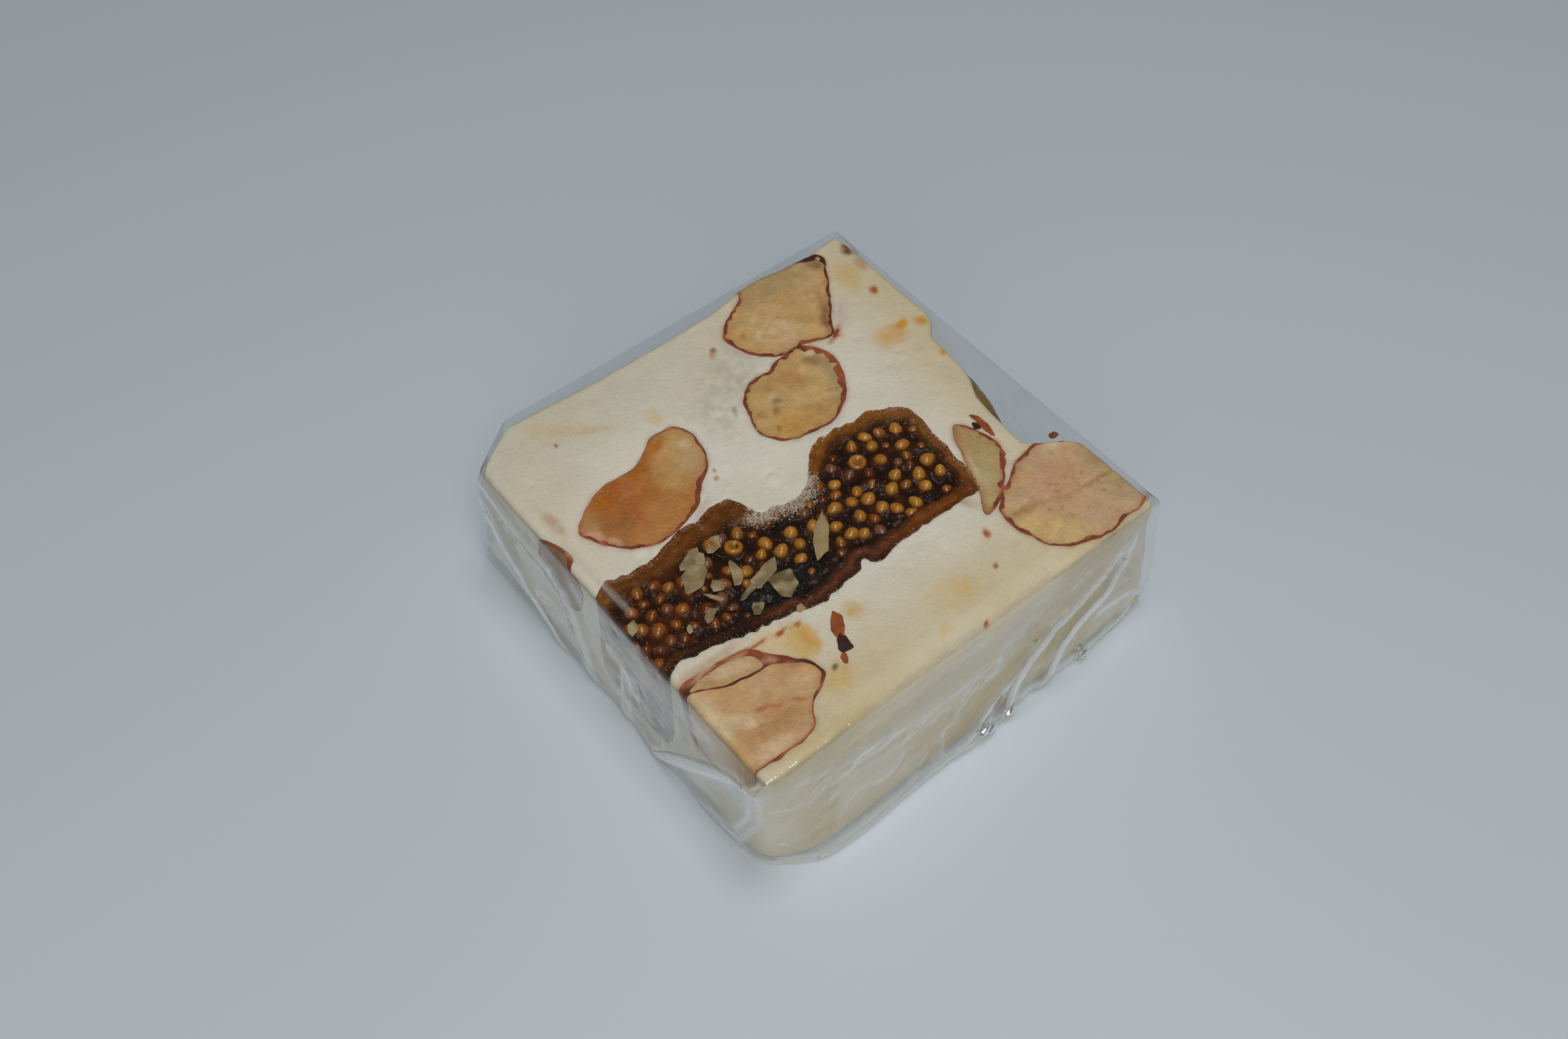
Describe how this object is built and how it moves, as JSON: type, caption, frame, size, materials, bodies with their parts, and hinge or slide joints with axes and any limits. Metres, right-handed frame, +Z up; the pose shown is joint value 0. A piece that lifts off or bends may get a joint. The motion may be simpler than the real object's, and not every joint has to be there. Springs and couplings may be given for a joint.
{
  "type": "wrapped nougat piece",
  "caption": "Square piece of soft white nougat with almonds, a slice of dried fig and a sultana, cut flat and wrapped tightly in folded clear film.",
  "frame": {"origin": "middle of the rectangle that the pack covers, at the flat foot it lies on", "axes": "+Z up through the thickness, +X and +Y along the sides of the square: the film flares at the -Y side, the fig is cut through at the -X side, and the corner at -X +Y is cut off"},
  "size_m": [0.0414, 0.0426, 0.0133],
  "materials": {
    "film": "thin clear cellophane, glossy, with creases",
    "nougat": "soft aerated white nougat, knife cut, faintly translucent",
    "almond": "roasted almond, cut across, with thin red-brown skin at its rim",
    "fig": "dried fig pulp, dark, wet and sticky, with golden seeds",
    "sultana": "sultana skin, olive brown, finely wrinkled and half translucent"
  },
  "bodies": {
    "root": {"film_wrap": "film", "nougat": "nougat", "fig_slice": "fig", "almond_back": "almond", "almond_round": "almond", "almond_left": "almond", "almond_right": "almond", "almond_front": "almond", "almond_front_half": "almond", "almond_sliver": "almond", "almond_side": "almond", "sultana": "sultana"}
  },
  "joints": []
}
